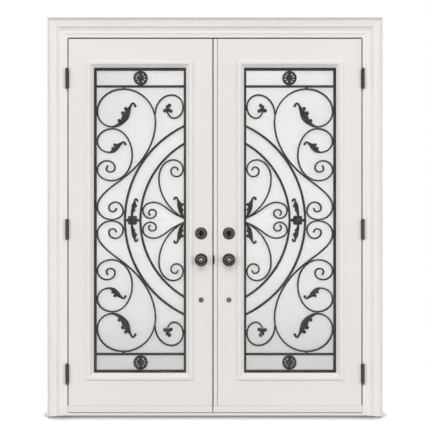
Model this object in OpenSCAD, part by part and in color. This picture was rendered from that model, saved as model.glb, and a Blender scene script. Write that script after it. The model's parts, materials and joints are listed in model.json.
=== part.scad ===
// Pair of steel entry doors in a cased frame, each leaf glazed with a wrought-iron scroll grille.
// X runs along the wall, Y from the room towards the outside, Z up.
// The origin is on the floor, below the middle of the room face of the leaves.

/* [Leaves] */
// Width of each leaf
leaf_w = 773; // [760:1:860]
// Height of each leaf
leaf_h = 2007; // [1990:1:2100]
// Thickness of each leaf
leaf_t = 44.5; // [43:0.5:50]
// Thickness of the steel skins
skin_t = 0.8; // [0.6:0.1:1.2]
// Depth of the skins' fold round the leaf edges
skin_fold = 12; // [9:1:16]
// Width of the stiles inside a leaf
stile_w = 36; // [30:1:45]
// Height of the top rail inside a leaf
top_rail_h = 60; // [40:1:80]
// Height of the bottom rail inside a leaf
bottom_rail_h = 90; // [60:1:120]
// Gap between a leaf and its jamb
hinge_gap = 4.5; // [3:0.1:5]
// Gap between the active leaf and the astragal
meeting_gap = 5; // [3.8:0.1:6]
// Gap above the leaves
head_gap = 5.5; // [3:0.1:7]
// Gap between the leaves and the threshold
foot_gap = 4; // [3:0.1:6]
// Width of the astragal on the inactive leaf
astragal_w = 24; // [22:0.5:30]
// Height of the sweep strips
sweep_h = 37; // [30:1:50]
// Thickness of the sweep strips
sweep_t = 4; // [2:0.5:5]

/* [Frame] */
// Depth of the jambs through the wall
jamb_d = 116; // [108:1:160]
// Thickness of the jambs
jamb_t = 52; // [48:1:60]
// Face of the jambs left bare by the casing
jamb_reveal = 42; // [36:1:44]
// Width of the bead on the jambs' front edge, beside the casing
jamb_bead = 23; // [18:1:26]
// Radius of the jambs' eased edge, beside the leaves
jamb_ease = 3.5; // [1:0.5:5]
// Height of the jambs' bead
jamb_crown = 3; // [1:0.1:3.2]
// Height of the stop above the jamb face
stop_h = 13; // [11:0.5:16]
// Room between the leaves and the stop for the seal
seal_room = 5.5; // [4:0.5:8]
// Width of the seal strip
seal_w = 8; // [6:0.5:9]
// Height of the threshold under the leaves
sill_h = 14; // [12:0.5:18]
// Reach of the threshold into the room
sill_front = 12; // [6:1:16]
// Reach of the threshold beyond the jambs outside
sill_back = 34; // [20:1:50]
// Height of the threshold's outside edge
sill_nose = 6; // [4:0.5:8]
// Radius of the jambs' fixing screw holes
screw_hole_r = 2.75; // [2.5:0.05:4]
// Distance of the end screw holes from the floor and from the head
screw_end = 190; // [120:1:300]

/* [Casing] */
// Width of the casing
casing_w = 62; // [58:1:80]
// Depth of the casing's outer rim
casing_d = 28; // [24:0.5:32]
// Thickness of the casing's inner fillet
fillet_t = 4; // [3:0.5:6]
// Width of the casing's inner fillet
fillet_w = 5; // [3:0.5:7]
// Width of the casing's ogee
ogee_w = 14; // [10:0.5:16]
// Thickness of the casing's middle flat
flat_t = 13; // [11:0.5:15]
// Width of the casing's middle flat
flat_w = 11; // [8:0.5:12]
// Width of the casing's outer rim
rim_w = 5; // [4:0.5:8]

/* [Lites] */
// Width of the leaf beside the glass, on the hinge side
hinge_margin = 134.5; // [110:0.5:200]
// Width of the leaf beside the glass, on the meeting side
meeting_margin = 141.5; // [130:0.5:200]
// Height of the leaf above the glass
top_margin = 153.5; // [130:0.5:250]
// Height of the leaf below the glass
foot_margin = 209.5; // [160:0.5:400]
// Face width of the lite frames
lite_frame_w = 37.5; // [34:0.5:38]
// Height of the lite frames above the skin
lite_frame_d = 9; // [7:0.5:11]
// Thickness of each pane
pane_t = 4; // [3:0.5:5]
// Air gap between the panes
pane_gap = 16; // [14:0.5:18]
// Cover of the lite frames over the panes
pane_cover = 12; // [10:0.5:13]
// Width of the spacer between the panes
spacer_w = 9; // [7:0.5:9]

/* [Grille] */
// Width of the grille's border bars
border_w = 15.4; // [14:0.2:16]
// Width of the cross bars
cross_w = 11; // [9:0.5:13]
// Width of the large arcs
arc_w = 10.5; // [9:0.5:12]
// Width of the scroll bars
scroll_w = 7.5; // [6.5:0.1:8.5]
// Depth of the grille
grille_d = 10; // [6:0.5:12]
// Fillet where the bars are welded together
weld = 1.2; // [0.5:0.1:1.5]

/* [Hinges] */
// Height of the hinges
hinge_h = 101.6; // [90:0.1:125]
// Radius of the hinge barrels
barrel_r = 8; // [7:0.1:8]
// Radius of the hinge pins
pin_r = 4; // [3:0.1:4.5]
// Thickness of the hinge plates
plate_t = 2.8; // [2:0.1:3]
// Width of the hinge plates
plate_w = 34; // [28:0.5:38]
// Distance of the hinge axis from the jamb face
axis_out = 2.75; // [2:0.05:4]
// Distance of the hinge axis in front of the leaves
axis_front = 10; // [10:0.1:12]
// Distance of the top hinges below the leaf's head
hinge_top = 214; // [140:1:300]
// Distance of the middle hinges below the leaf's middle
hinge_mid = 20.5; // [0:0.5:60]
// Height of the bottom hinges above the leaf's foot
hinge_low = 207; // [140:1:300]

/* [Locks] */
// Distance of the knob and turn axes from the meeting edge
backset = 60; // [58:0.5:62]
// Height of the thumbturns above the floor
turn_z = 979.5; // [965:0.5:990]
// Height of the knobs above the floor
knob_z = 837; // [825:0.5:845]
// Height of the lower caps above the floor
cap_z = 621.5; // [600:0.5:640]
// Radius of the thumbturn roses
turn_rose_r = 32.5; // [30:0.5:34]
// Radius of the knob roses
knob_rose_r = 34.5; // [31:0.5:36]
// Radius of the ball knobs
knob_r = 25; // [22:0.5:27]
// Radius of the lower caps
cap_r = 13.5; // [11:0.5:15]
// Radius of the bores through the active leaf
cross_bore_r = 27; // [25:0.5:28]
// Radius of the edge bores for the lock cases
edge_bore_r = 12.7; // [12.5:0.1:13.5]
// Throw of the deadbolt
bolt_throw = 20; // [18:0.1:20]
// Throw of the latch
latch_throw = 12; // [10:0.5:12]
// Throw of the flush bolts
flush_throw = 16; // [14:0.5:16]
// Radius of the flush bolts
flush_r = 5; // [4:0.1:5.5]
// Reach of the pull grips behind the leaves
grip_reach = 55; // [50:1:65]
// Radius of the pull grips' bar
grip_r = 9; // [8:0.5:10]

/* [Hidden] */
$fn = 48;

// Colours
white = [0.91, 0.90, 0.88];
trim_white = [0.93, 0.92, 0.90];
bronze = [0.25, 0.22, 0.19];
iron = [0.20, 0.19, 0.18];
steel = [0.66, 0.66, 0.64];
timber = [0.82, 0.74, 0.60];
foam = [0.90, 0.86, 0.66];
clear = [0.85, 0.89, 0.90, 0.5];
black = [0.15, 0.15, 0.15];

// Clearances: sliding and turning fits, loose fits, and room left round seals
fit = 0.05;
play = 0.3;
slack = 0.5;
// Overlap that makes a cut pass clear through a face
past = 1;

// Main planes of the frame
half_open = leaf_w + hinge_gap + (astragal_w + meeting_gap) / 2;
leaf_x = half_open - hinge_gap;
leaf_z = sill_h + foot_gap;
head_z = leaf_z + leaf_h + head_gap;
stop_y = leaf_t + seal_room;
hinge_zs = [leaf_z + hinge_low, leaf_z + leaf_h / 2 - hinge_mid, leaf_z + leaf_h - hinge_top];

// Fixing holes through the jambs, behind the leaves
screw_y = (stop_y + jamb_d) / 2;
screw_n = 4;
screw_pitch = (head_z - 2 * screw_end) / (screw_n - 1);
screw_zs = [for (i = [0:screw_n - 1]) screw_end + i * screw_pitch];

// Hinge knuckles: five along each barrel, the even ones on the jamb
knuckle_n = 5;
knuckle_pitch = hinge_h / knuckle_n;
knuckle_h = knuckle_pitch - play;
pin_head = 6;
pin_head_r = barrel_r - 1;

// Glass unit in the middle of the leaf, cut to whole millimetres, and the lite frames' leg beside it
frame_leg = 8;
lite_half = [round(leaf_w - hinge_margin - meeting_margin) / 2, round(leaf_h - top_margin - foot_margin) / 2];
lite_x = hinge_margin + lite_half.x;
lite_z = foot_margin + lite_half.y;
unit_t = 2 * pane_t + pane_gap;
pane_y = (leaf_t - unit_t) / 2;
cutout = pane_cover + frame_leg;
cutout_half = [lite_half.x + cutout, lite_half.y + cutout];

// Lock block, from below the cap to above the thumbturn, with a strip of core between it and the lite
block_under = 35;
block_over = 60;
block_strip = 13.5;

// Lock positions on a leaf, measured from its hinge edge and foot
lock_x = leaf_w - backset;
turn_h = turn_z - leaf_z;
knob_h = knob_z - leaf_z;
cap_h = cap_z - leaf_z;
lock_y = leaf_t / 2;
block_low = cap_h - block_under;
block_high = turn_h + block_over;
block_w = meeting_margin - cutout - block_strip;

// Bolt section and lock cases
bolt_size = [13, 18];
face_t = 2.5;
face_size = [25.4, 57];
case_r = edge_bore_r - fit * 4;
case_len = 38;
spindle_r = 6;
turn_rose_h = 9;
neck_r = 8;
through_bolt_r = 3.5;

// Flush bolts in the astragal
flush_x = leaf_w + astragal_w / 2;
flush_y = 28;
flush_len = 200;
flush_slot = [90, 150];
tab_w = 5;
groove = [3, 14];
strike_t = 1.6;
strike_back = 31;
seal_y = 34;
seal_proud = 1.5;

// Cylinder plug, pull grip and thumb lever outside
plug_r = 7;
grip_plate = [54, 112, 8];
grip_bend = 25;
grip_drop = 42;
lever_size = [14, 46, 4];
lever_rise = 4;
lever_slot_h = 14;
lever_pin_r = 1.5;
lever_pin_reach = 5;

// Half heights of the strike plates
latch_strike_half = 29;
bolt_strike_half = 32;

// Room between the inactive leaf's skin and the trim that turns on it
skin_room = 2;

// Scroll grille, upper half. A knot is a place on a bar's centre line, the heading there in degrees and,
// where it differs from the scroll bars, the width. Places are measured from the middle of the glass, in a
// drawing whose border leaves the half size below, and stretch with the lite.
drawing = [235.8, 807.3];
border_half = [lite_half.x + pane_cover - spacer_w - play, lite_half.y + pane_cover - spacer_w - play];
clear_half = [border_half.x - border_w, border_half.y - border_w];
stretch = [clear_half.x / drawing.x, clear_half.y / drawing.y];
swell = max(stretch.x, stretch.y);
bite = 0.35;
touch = drawing.x - (scroll_w / 2 - bite) / stretch.x;
focus = [237, 11];

large_scroll = [[-151, 504, 180], [-touch, 586, 90], [-90, 708, 0], [83, 530, -90], [-73, 242, -141],
    [-touch, 72, -90], [-155, 3, 0], [-92, 48, 90], [-133, 98, 180], [-170, 66, 270], [-149, 46, 360],
    [-130, 62, 450]];
small_scroll = [[-167, 366, 180], [-touch, 426, 90], [-149, 494, 0], [-43, 350, -90], [-155, 213, -180],
    [-touch, 271, -270], [-179, 321, -360], [-136, 283, -450], [-161, 260, -540], [-183, 276, -630],
    [-177, 292, -660]];
corner_scroll = [[80, 568, 90], [170, 676, 0], [touch, 611, -90], [182, 550, -180], [148, 582, -250]];
pear_scroll = [[focus.x, focus.y, 152], [101, 227, 90], [179, 326, 0], [touch, 277, -90], [197, 235, -180],
    [166, 264, -270], [188, 287, -360], [203, 273, -450]];
heart_scroll = [[focus.x, focus.y, 158], [160, 53, 143], [74, 97, 180], [14, 54, 270], [55, 10, 360],
    [87, 39, 450], [64, 58, 540], [46, 40, 630], [52, 29, 680]];
scrolls = [large_scroll, small_scroll, corner_scroll, pear_scroll, heart_scroll];

large_leaf = [[-151, 504, 0], [-106, 523, 38, 20], [-80, 557, 60, 36], [-66, 588, 68, 26],
    [-53, 613, 62, 9], [-40, 631, 0, 9], [-27, 617, -75, 11]];
small_leaf = [[-167, 366, 0], [-143, 376, 32, 20], [-124, 398, 46, 27], [-106, 412, 38, 12],
    [-90, 422, 0, 8], [-81, 411, -75, 10]];
border_leaf = [[235, 16, 125, 8], [220, 46, 105, 20], [213, 83, 95, 26], [204, 108, 110, 10],
    [194, 124, 180, 8], [185, 115, 270, 10]];
middle_leaf = [[-45, 22, 90, 9], [-41, 52, 72, 16], [-33, 82, 78, 24], [-30, 103, 85, 8],
    [-24, 115, 0, 8], [-16, 106, -75, 9]];
leaves = [large_leaf, small_leaf, border_leaf, middle_leaf];

// Lobes of the leaves and of the trefoil: centre and radius
lobes = [[-113, 537, 9], [-92, 577, 11], [-78, 602, 9], [-149, 388, 7], [-137, 407, 8],
    [227, 85, 8], [227, 57, 7], [-24, 77, 7], [-33, 53, 6],
    [149, 597, 13], [133, 591, 9], [166, 589, 9], [158, 620, 9], [145, 613, 7]];

// Rosettes between the border and the cross bars, the arcs, the hub between them, and the collars
cross_v = 722;
rosette = [2, 767, 38];
arc_x = 479;
arc_radii = [562, 478];
hub = [-42, 0];
collars = [[-90, 713, 6]];

// Points of an elliptical arc
function arc(c, r, from, to, n) =
    [for (i = [0:n]) let (a = from + (to - from) * i / n) [c.x + r.x * cos(a), c.y + r.y * sin(a)]];

// Right half of a part that stands on both sides of the door
module both_sides() {
    children();
    mirror([1, 0, 0]) children();
}

// A leaf's own frame: X from its hinge edge to its meeting edge, Z from its foot
module on_active() {
    translate([-leaf_x, 0, leaf_z]) children();
}

module on_inactive() {
    mirror([1, 0, 0]) on_active() children();
}

// A copy on the outside of the leaf, and one upside down at its head
module turned_outside() {
    translate([0, leaf_t, 0]) mirror([0, 1, 0]) children();
}

module at_head() {
    translate([0, 0, leaf_h]) mirror([0, 0, 1]) children();
}

// A shape turned about an axis that points into the room, or outside
module towards_room(h, x = lock_x) {
    translate([x, 0, h]) rotate([90, 0, 0]) children();
}

module towards_outside(h, x = lock_x) {
    translate([x, leaf_t, h]) rotate([-90, 0, 0]) children();
}

// Flat shape drawn in X and Z, given a thickness along Y from front to back
module slab(front, back) {
    translate([0, back, 0]) rotate([90, 0, 0]) linear_extrude(back - front) children();
}

// Frame profiles, drawn outward from the leaf opening
module upright(inner, outer, front, back) {
    intersection() {
        translate([half_open, 0, 0]) linear_extrude(head_z + outer) children();
        slab(front - past, back + past)
            polygon([[half_open + inner - past, -past], [half_open + outer + past, -past],
                [half_open + outer + past, head_z + outer + past],
                [half_open + inner - past, head_z + inner - past]]);
    }
}

module lintel(inner, outer, front, back) {
    reach = half_open + outer;
    intersection() {
        translate([reach, 0, head_z]) rotate([0, -90, 0]) linear_extrude(2 * reach) children();
        slab(front - past, back + past)
            polygon([[-half_open - outer - past, head_z + outer + past],
                [half_open + outer + past, head_z + outer + past],
                [half_open + inner - past, head_z + inner - past],
                [-half_open - inner + past, head_z + inner - past]]);
    }
}

// Lays an upright side of a ring level
swap_xz = [[0, 0, 1, 0], [0, 1, 0, 0], [1, 0, 0, 0], [0, 0, 0, 1]];

// Rectangular ring swept from a profile drawn outward from its inner edge, mitred at its corners
module ring(half, outer, front, back) {
    for (side = [0, 1]) {
        mirror([side, 0, 0]) ring_side(half.x, half.y, outer, front, back) children();
        mirror([0, 0, side]) multmatrix(swap_xz) ring_side(half.y, half.x, outer, front, back) children();
    }
}

module ring_side(across, along, outer, front, back) {
    intersection() {
        translate([across, 0, -along - outer]) linear_extrude(2 * (along + outer)) children();
        slab(front - past, back + past)
            polygon([[across - past, past - along], [across + outer + past, -along - outer - past],
                [across + outer + past, along + outer + past], [across - past, along - past]]);
    }
}

// Jambs
module jamb_profile() {
    nose = 6;
    peak = [jamb_reveal - jamb_bead + nose, 0];
    bead = concat(arc(peak, [nose, jamb_crown], 180, 270, 4),
        arc(peak, [jamb_bead - nose, jamb_crown], 285, 360, 5));
    ease = arc([jamb_ease, jamb_ease], [jamb_ease, jamb_ease], 180, 270, 4);
    polygon(concat(ease, bead, [[jamb_t, 0], [jamb_t, jamb_d], [-stop_h, jamb_d], [-stop_h, stop_y],
        [0, stop_y]]));
}

module side_jamb() {
    difference() {
        upright(-stop_h, jamb_t, -jamb_crown, jamb_d) jamb_profile();
        translate([half_open - stop_h - past, stop_y - past, -past])
            cube([stop_h + past, jamb_d, sill_h + past]);
        for (z = hinge_zs)
            translate([half_open - past, -jamb_crown, z - hinge_h / 2])
                cube([plate_t + past, jamb_crown + plate_w, hinge_h]);
        for (z = screw_zs)
            translate([half_open - stop_h - past, screw_y, z]) rotate([0, 90, 0])
                cylinder(r = screw_hole_r, h = jamb_t + stop_h + 2 * past);
    }
}

module right_jamb() color(trim_white) side_jamb();

module left_jamb() color(trim_white) mirror([1, 0, 0]) side_jamb();

module head_jamb() color(trim_white) difference() {
    lintel(-stop_h, jamb_t, -jamb_crown, jamb_d) jamb_profile();
    translate([leaf_x - flush_x, flush_y, head_z - past])
        cylinder(r = flush_r + slack, h = flush_throw + past);
}

// Casing
module casing_profile() {
    rim_r = 2;
    quirk = 1.5;
    ogee_steps = 8;
    cove_x = fillet_w + ogee_w + flat_w;
    cove_w = casing_w - rim_w - cove_x;
    cove_d = casing_d - rim_r - flat_t - quirk;
    ogee = [for (i = [0:ogee_steps]) let (t = i / ogee_steps)
        [fillet_w + ogee_w * t, -fillet_t - (flat_t - fillet_t) * (1 - cos(180 * t)) / 2]];
    cove = arc([cove_x, rim_r - casing_d], [cove_w, cove_d], 90, 0, 7);
    rim = arc([casing_w - rim_r, rim_r - casing_d], [rim_r, rim_r], 270, 360, 4);
    translate([jamb_reveal, 0])
        polygon(concat([[0, 0], [0, -fillet_t]], ogee, [[cove_x, -flat_t]], cove,
            [[casing_w - rim_w, -casing_d]], rim, [[casing_w, 0]]));
}

module side_casing() upright(jamb_reveal, jamb_reveal + casing_w, -casing_d, 0) casing_profile();

module right_casing() color(trim_white) side_casing();

module left_casing() color(trim_white) mirror([1, 0, 0]) side_casing();

module head_casing() color(trim_white)
    lintel(jamb_reveal, jamb_reveal + casing_w, -casing_d, 0) casing_profile();

// Threshold, with a round nose in the room and a slope to the outside
module threshold() color(steel) difference() {
    nose_r = 4;
    rotate([90, 0, 90]) translate([0, 0, -half_open]) linear_extrude(2 * half_open)
        polygon(concat([[-sill_front, 0]],
            arc([nose_r - sill_front, sill_h - nose_r], [nose_r, nose_r], 180, 90, 4),
            [[stop_y, sill_h], [jamb_d + sill_back, sill_nose], [jamb_d + sill_back, 0]]));
    translate([leaf_x - flush_x, flush_y, -past]) cylinder(r = flush_r + slack, h = sill_h + 2 * past);
}

// Seal strips on the stops
module frame_seals() color(black) {
    seal_r = 2;
    depth = seal_room - play;
    both_sides() translate([half_open - stop_h + play, stop_y, sill_h + play])
        linear_extrude(head_z - sill_h - seal_w - 3 * play) seal_section(depth, seal_r);
    translate([half_open - stop_h - 2 * play, stop_y, head_z - stop_h + play]) rotate([0, -90, 0])
        linear_extrude(2 * (half_open - stop_h - 2 * play)) seal_section(depth, seal_r);
}

module seal_section(depth, r) {
    polygon(concat([[0, 0]], arc([r, r - depth], [r, r], 180, 270, 4),
        arc([seal_w - r, r - depth], [r, r], 270, 360, 4), [[seal_w, 0]]));
}

// Hinges, drawn on the right side
module knuckles(first) {
    for (k = [first:2:knuckle_n - 1])
        translate([half_open + axis_out, -axis_front, k * knuckle_pitch - hinge_h / 2 + play / 2])
            cylinder(r = barrel_r, h = knuckle_h);
}

module knuckle_straps(first, x) {
    for (k = [first:2:knuckle_n - 1])
        translate([x, -axis_front, k * knuckle_pitch - hinge_h / 2 + play / 2])
            cube([plate_t, axis_front + past, knuckle_h]);
}

module pin_bore() {
    translate([half_open + axis_out, -axis_front, -hinge_h]) cylinder(r = pin_r + fit, h = 2 * hinge_h);
}

module frame_plate() {
    notch = axis_front - barrel_r - slack;
    difference() {
        union() {
            translate([half_open, -notch, -hinge_h / 2]) cube([plate_t, plate_w + notch, hinge_h]);
            knuckle_straps(0, half_open);
            knuckles(0);
        }
        pin_bore();
    }
}

module leaf_plate() {
    difference() {
        union() {
            translate([leaf_x - plate_t, 0, -hinge_h / 2]) cube([plate_t, plate_w, hinge_h]);
            knuckle_straps(1, leaf_x - plate_t);
            knuckles(1);
        }
        pin_bore();
    }
}

module hinge_frame_plates() color(bronze) both_sides() {
    for (z = hinge_zs) translate([0, 0, z]) frame_plate();
}

module hinge_pins() color(bronze) both_sides() {
    for (z = hinge_zs) translate([half_open + axis_out, -axis_front, z]) {
        translate([0, 0, -hinge_h / 2 - play]) cylinder(r = pin_r, h = hinge_h + 2 * play);
        for (side = [0, 1]) mirror([0, 0, side]) translate([0, 0, hinge_h / 2]) rotate_extrude()
            polygon(concat([[0, 0], [pin_head_r, 0]], arc([0, 2], [pin_head_r, pin_head - 2], 0, 90, 6)));
    }
}

module leaf_hinge_plates() {
    for (z = hinge_zs) translate([0, 0, z]) leaf_plate();
}

module inactive_hinge_plates() color(bronze) leaf_hinge_plates();

module active_hinge_plates() color(bronze) mirror([1, 0, 0]) leaf_hinge_plates();

// Cuts shared by the pieces of a leaf
module hinge_pockets() {
    for (z = hinge_zs) translate([-past, -past, z - leaf_z - hinge_h / 2])
        cube([plate_t + past, plate_w + past, hinge_h]);
}

module lock_bores() {
    for (h = [turn_h, knob_h]) {
        translate([lock_x, -past, h]) rotate([-90, 0, 0]) cylinder(r = cross_bore_r, h = leaf_t + 2 * past);
        translate([lock_x, lock_y, h]) rotate([0, 90, 0]) cylinder(r = edge_bore_r, h = backset + past);
        translate([leaf_w - face_t, lock_y - face_size.x / 2, h - face_size.y / 2])
            cube([face_t + past, face_size.x, face_size.y]);
    }
}

module bolt_hole() {
    translate([lock_x, -past, cap_h]) rotate([-90, 0, 0])
        cylinder(r = through_bolt_r + play, h = leaf_t + 2 * past);
}

module lite_hole() {
    translate([lite_x - cutout_half.x, -past, lite_z - cutout_half.y])
        cube([2 * cutout_half.x, leaf_t + 2 * past, 2 * cutout_half.y]);
}

module leaf_cuts(locks) {
    lite_hole();
    hinge_pockets();
    bolt_hole();
    if (locks) lock_bores();
}

// Steel skins, folded round the long edges
module folded_sheet() {
    cube([leaf_w, skin_t, leaf_h]);
    for (x = [0, leaf_w - skin_t]) translate([x, 0, 0]) cube([skin_t, skin_fold, leaf_h]);
}

module inner_skin(locks) difference() {
    folded_sheet();
    leaf_cuts(locks);
}

module outer_skin(locks) difference() {
    turned_outside() folded_sheet();
    leaf_cuts(locks);
}

module active_inner_skin() color(white) on_active() inner_skin(true);

module active_outer_skin() color(white) on_active() outer_skin(true);

module inactive_inner_skin() color(white) on_inactive() inner_skin(false);

module inactive_outer_skin() color(white) on_inactive() outer_skin(false);

// Room for the core, between the stiles, the rails and the lock block
module core_outline() {
    difference() {
        translate([stile_w, bottom_rail_h])
            square([leaf_w - 2 * stile_w, leaf_h - bottom_rail_h - top_rail_h]);
        translate([leaf_w - block_w, block_low]) square([block_w, block_high - block_low]);
    }
}

module edge_frame(locks) {
    difference() {
        slab(skin_t, leaf_t - skin_t) difference() {
            translate([skin_t, 0]) square([leaf_w - 2 * skin_t, leaf_h]);
            core_outline();
        }
        hinge_pockets();
        bolt_hole();
        if (locks) lock_bores();
    }
}

module core() {
    slab(skin_t, leaf_t - skin_t) difference() {
        core_outline();
        translate([lite_x, lite_z]) square(2 * cutout_half, center = true);
    }
}

module active_edge_frame() color(timber) on_active() edge_frame(true);

module inactive_edge_frame() color(timber) on_inactive() edge_frame(false);

module active_core() color(foam) on_active() core();

module inactive_core() color(foam) on_inactive() core();

// Lite frames: a bevel down to the glass, a flat, a rounded shoulder, and a leg into the cut-out
module lite_profile() {
    bevel_w = 18.5;
    crown_w = 9;
    edge_t = 4.5;
    lip_t = 2.8;
    leg = [pane_cover + slack, cutout - play];
    shoulder = arc([bevel_w + crown_w, -edge_t], [lite_frame_w - bevel_w - crown_w, lite_frame_d - edge_t],
        270, 360, 5);
    polygon(concat([[0, pane_y], [0, pane_y - lip_t], [bevel_w, -lite_frame_d]], shoulder,
        [[lite_frame_w, 0], [leg[1], 0], [leg[1], leaf_t / 2 - slack],
            [leg[0], leaf_t / 2 - slack], [leg[0], pane_y]]));
}

module lite_frame() translate([lite_x, 0, lite_z])
    ring(lite_half, lite_frame_w, -lite_frame_d, leaf_t / 2) lite_profile();

module active_lite_inner_frame() color(white) on_active() lite_frame();

module active_lite_outer_frame() color(white) on_active() turned_outside() lite_frame();

module inactive_lite_inner_frame() color(white) on_inactive() lite_frame();

module inactive_lite_outer_frame() color(white) on_inactive() turned_outside() lite_frame();

// Sealed glass unit
module pane(front) {
    translate([lite_x - lite_half.x - pane_cover, front, lite_z - lite_half.y - pane_cover])
        cube([2 * (lite_half.x + pane_cover), pane_t, 2 * (lite_half.y + pane_cover)]);
}

module spacer() {
    outer = [lite_half.x + pane_cover, lite_half.y + pane_cover];
    inner = [outer.x - spacer_w, outer.y - spacer_w];
    translate([lite_x, 0, lite_z]) slab(pane_y + pane_t, pane_y + pane_t + pane_gap) difference() {
        square(2 * outer, center = true);
        square(2 * inner, center = true);
    }
}

module active_inner_pane() color(clear) on_active() pane(pane_y);

module active_outer_pane() color(clear) on_active() pane(pane_y + pane_t + pane_gap);

module active_spacer() color(steel) on_active() spacer();

module inactive_inner_pane() color(clear) on_inactive() pane(pane_y);

module inactive_outer_pane() color(clear) on_inactive() pane(pane_y + pane_t + pane_gap);

module inactive_spacer() color(steel) on_inactive() spacer();

function heading(a) = [cos(a), sin(a)];
function width(knot) = knot[3] == undef ? scroll_w : swell * knot[3];
function place(knot) = [knot.x * stretch.x, knot.y * stretch.y];

// An arc as knots, from its middle to the border
function arc_knots(r) = let (last = acos((arc_x - touch - border_w / 2) / r))
    [for (i = [0:2]) let (a = last * i / 2) [arc_x - r * cos(a), r * sin(a), 90 - a, arc_w]];

// Points and normals along one span between two knots, as [place, half width, normal]
function span(a, b) =
    let (p = place(a), q = place(b), d = heading(a[2]), e = heading(b[2]), turn = abs(b[2] - a[2]),
        k = turn < 1 ? 1 / 3 : 4 / 3 * tan(turn / 4) / sin(turn),
        p1 = p + d * (k * ((q - p) * d)), q1 = q - e * (k * ((q - p) * e)),
        n = max(3, min(8, round(sqrt(norm(q - p)) / 1.9))))
    [for (i = [0:n - 1]) let (t = i / n, s = 1 - t,
        at = s * s * s * p + 3 * s * s * t * p1 + 3 * s * t * t * q1 + t * t * t * q,
        v = s * s * (p1 - p) + 2 * s * t * (q1 - p1) + t * t * (q - q1))
        [at, (s * width(a) + t * width(b)) / 2, [-v.y, v.x] / norm(v)]];

function last_knot(a) = [place(a), width(a) / 2, [-sin(a[2]), cos(a[2])]];

module bar(knots) {
    n = len(knots);
    steps = concat([for (i = [0:n - 2]) each span(knots[i], knots[i + 1])], [last_knot(knots[n - 1])]);
    left = [for (s = steps) s[0] + s[1] * s[2]];
    right = [for (i = [len(steps) - 1:-1:0]) steps[i][0] - steps[i][1] * steps[i][2]];
    polygon(concat(left, right));
    translate(place(knots[n - 1])) circle(d = 1.25 * width(knots[n - 1]), $fn = 10);
}

module dot(d) {
    translate(place(d)) circle(r = swell * d[2], $fn = 12);
}

module rosette_shape() {
    petals = 10;
    petal = [6.8, 4.4];
    difference() {
        circle(r = rosette[2], $fn = 32);
        for (i = [0:petals - 1]) rotate(360 / petals * (i + 0.5))
            polygon(arc([0.6 * rosette[2], 0], petal, 0, 324, 9));
    }
}

module hub_shape() {
    for (i = [0:3]) rotate(90 * i) {
        translate([16, 0]) circle(r = 10, $fn = 16);
        translate([13, 13]) circle(r = 11, $fn = 16);
    }
    square([arc_radii[0] - arc_radii[1], 15], center = true);
}

module grille_half() {
    cross_y = place([0, cross_v]).y;
    for (knots = concat(scrolls, leaves)) bar(knots);
    for (r = arc_radii) bar(arc_knots(r));
    for (d = concat(lobes, collars)) dot(d);
    translate(place(rosette)) scale(swell) rosette_shape();
    translate([place(rosette).x - cross_w / 2, cross_y])
        square([cross_w, border_half.y - border_w / 2 - cross_y]);
    translate([0, cross_y]) square([2 * clear_half.x + border_w, cross_w], center = true);
}

module grille_outline() {
    offset(delta = -weld) offset(delta = weld) {
        grille_half();
        mirror([0, 1]) grille_half();
        translate(place(hub)) scale(swell) hub_shape();
        difference() {
            square(2 * border_half, center = true);
            square(2 * clear_half, center = true);
        }
    }
}

module grille() {
    translate([lite_x, 0, lite_z]) slab((leaf_t - grille_d) / 2, (leaf_t + grille_d) / 2) grille_outline();
}

module active_grille() color(iron) on_active() grille();

module inactive_grille() color(iron) on_inactive() grille();

// Sweep strips along the foot of the leaves, over the hinge gap
module sweep(to) {
    translate([play - hinge_gap, 0, 0]) rotate([90, 0, 90]) linear_extrude(to + hinge_gap - play)
        polygon([[0, 0], [-sweep_t, 0], [-sweep_t, sweep_h - 3], [-sweep_t / 2, sweep_h], [0, sweep_h]]);
}

module active_sweep() color(white) on_active() sweep(leaf_w);

module inactive_sweep() color(white) on_inactive() sweep(leaf_w + astragal_w - 1);

// The inactive leaf has no bores, so what turns on it ends short of the skin
module above_skin() {
    trim_reach = 200;
    intersection() {
        children();
        translate([0, -trim_reach - skin_room, 0]) cube([leaf_w, trim_reach, leaf_h]);
    }
}

// Room-side trim, turned about an axis into the room: Z is the distance from the skin
module turn_rose() towards_room(turn_h) rotate_extrude()
    polygon([[spindle_r + fit, 0], [turn_rose_r, 0], [turn_rose_r, 3], [turn_rose_r - 2, 5],
        [turn_rose_r - 6, 6], [turn_rose_r - 8, 9], [turn_rose_r - 14, 10.5],
        [turn_rose_r - 16, turn_rose_h], [spindle_r + fit, turn_rose_h]]);

module turn() towards_room(turn_h) {
    foot = turn_rose_h + play;
    half = 12;
    translate([0, 0, 2 - lock_y]) cylinder(r = spindle_r, h = lock_y - 2 + foot + past);
    translate([0, 0, foot]) cylinder(r = 10, h = 3);
    translate([0, 0, foot + 2]) linear_extrude(15) {
        square([9, 2 * half], center = true);
        for (side = [-1, 1]) translate([0, half * side]) circle(r = 5.5);
    }
}

module knob_rose() towards_room(knob_h) rotate_extrude()
    polygon(concat([[neck_r + fit, 0], [knob_rose_r, 0], [knob_rose_r, 4], [knob_rose_r - 2, 6]],
        arc([knob_rose_r - 9, 6], [7, 4], 0, 90, 5), [[neck_r + fit, 10]]));

module knob() towards_room(knob_h) {
    centre = 44;
    cylinder(r = neck_r, h = 30);
    translate([0, 0, -leaf_t + 6]) cylinder(r = spindle_r, h = leaf_t - 5);
    rotate_extrude() polygon(concat([[0, 14], [13, 14], [14, 16], [13, 19], [11, 21]],
        arc([0, centre], [knob_r, knob_r * 0.88], -58, 52, 12),
        [[0.55 * knob_r, centre + 0.84 * knob_r], [0.5 * knob_r, centre + 0.8 * knob_r]],
        arc([0, centre + 0.8 * knob_r], [0.5 * knob_r, 4], 0, 90, 5)));
}

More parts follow.
